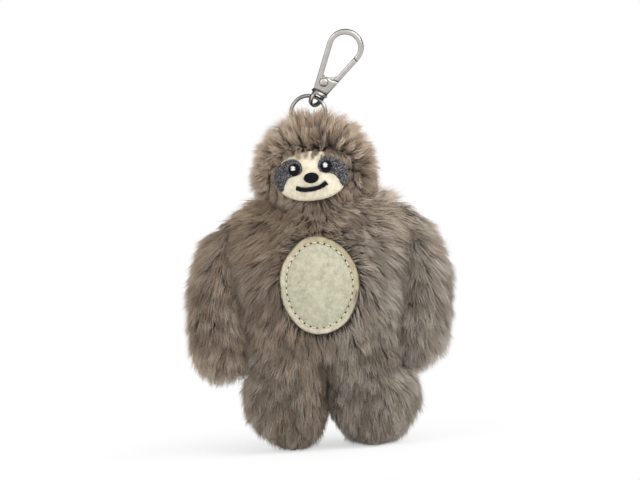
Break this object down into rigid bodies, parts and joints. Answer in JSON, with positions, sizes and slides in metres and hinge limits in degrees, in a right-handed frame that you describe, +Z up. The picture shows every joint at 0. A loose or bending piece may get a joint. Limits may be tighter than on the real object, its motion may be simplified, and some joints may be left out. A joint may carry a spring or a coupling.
{
  "type": "plush sloth bag charm",
  "caption": "Furry stuffed sloth with felt face and belly, hanging limbs, and a swivel snap hook on a split ring at its crown, to clip on a bag or keys.",
  "frame": {"origin": "on the surface that the sloth stands on, midway between the two feet and below the middle of the whole object's box", "axes": "+Z up, the face looks along -Y, +X is to the right as one looks at the face"},
  "size_m": [0.1086, 0.0473, 0.1664],
  "materials": {
    "fur": "long taupe pile, combed down",
    "stuffing": "loose polyester fibre",
    "cream_felt": "soft felt",
    "cream_thread": "cotton thread",
    "grey_thread": "satin stitch",
    "black_thread": "satin stitch",
    "white_thread": "satin stitch",
    "ribbon": "woven tape",
    "ring_steel": "polished spring steel",
    "satin_nickel": "satin nickel plate on die-cast zinc"
  },
  "bodies": {
    "torso": {"torso_skin": "fur", "torso_stuffing": "stuffing", "belly_patch": "cream_felt", "belly_stitching": "cream_thread"},
    "head": {"head_skin": "fur", "head_stuffing": "stuffing", "face_patch": "cream_felt", "eye_patch_left": "grey_thread", "eye_patch_right": "grey_thread", "eye_left": "black_thread", "eye_right": "black_thread", "eye_glint_left": "white_thread", "eye_glint_right": "white_thread", "nose": "black_thread", "mouth": "black_thread"},
    "arm_left": {"arm_skin_left": "fur", "arm_stuffing_left": "stuffing"},
    "arm_right": {"arm_skin_right": "fur", "arm_stuffing_right": "stuffing"},
    "leg_left": {"leg_skin_left": "fur", "leg_stuffing_left": "stuffing"},
    "leg_right": {"leg_skin_right": "fur", "leg_stuffing_right": "stuffing"},
    "tab": {"ring_tab": "ribbon"},
    "ring": {"split_ring": "ring_steel"},
    "swivel": {"swivel_eye": "satin_nickel"},
    "hook": {"hook_body": "satin_nickel", "gate_rivet": "satin_nickel", "gate_spring": "ring_steel"},
    "gate": {"gate": "satin_nickel"}
  },
  "joints": [
    {"name": "neck_nod", "type": "hinge", "parent": "torso", "child": "head", "pos_m": [0, -0.0005, 0.11], "axis": [1, 0, 0], "range_deg": [-15, 15], "stiffness_Nm_per_rad": 0.05},
    {"name": "shoulder_left", "type": "hinge", "parent": "torso", "child": "arm_left", "pos_m": [-0.0326, 0, 0.086], "axis": [-1, 0, 0], "range_deg": [-45, 110], "stiffness_Nm_per_rad": 0.002},
    {"name": "shoulder_right", "type": "hinge", "parent": "torso", "child": "arm_right", "pos_m": [0.0326, 0, 0.086], "axis": [-1, 0, 0], "range_deg": [-45, 110], "stiffness_Nm_per_rad": 0.002},
    {"name": "hip_left", "type": "hinge", "parent": "torso", "child": "leg_left", "pos_m": [-0.0165, 0, 0.036], "axis": [-1, 0, 0], "range_deg": [-25, 35], "stiffness_Nm_per_rad": 0.1},
    {"name": "hip_right", "type": "hinge", "parent": "torso", "child": "leg_right", "pos_m": [0.0165, 0, 0.036], "axis": [-1, 0, 0], "range_deg": [-25, 35], "stiffness_Nm_per_rad": 0.1},
    {"name": "tab_flex", "type": "hinge", "parent": "head", "child": "tab", "pos_m": [0, 0, 0.1252], "axis": [1, 0, 0], "range_deg": [-20, 20], "stiffness_Nm_per_rad": 0.004},
    {"name": "ring_turn", "type": "hinge", "parent": "tab", "child": "ring", "pos_m": [0, 0, 0.1342], "axis": [0, 1, 0], "range_deg": [-100, 35]},
    {"name": "clasp_swing", "type": "hinge", "parent": "ring", "child": "swivel", "pos_m": [0.00384, 0, 0.14], "axis": [0.8339, 0, -0.5519], "range_deg": [-65, 50]},
    {"name": "hook_swivel", "type": "hinge", "parent": "swivel", "child": "hook", "pos_m": [0.00556, -0.00067, 0.14261], "axis": [0.5399, -0.2079, 0.8157], "continuous": true},
    {"name": "gate_open", "type": "hinge", "parent": "hook", "child": "gate", "pos_m": [0.00709, -0.00148, 0.14617], "axis": [-0.1148, -0.9781, -0.1734], "range_deg": [0, 25], "stiffness_Nm_per_rad": 0.01, "springref_deg": -11.46}
  ]
}
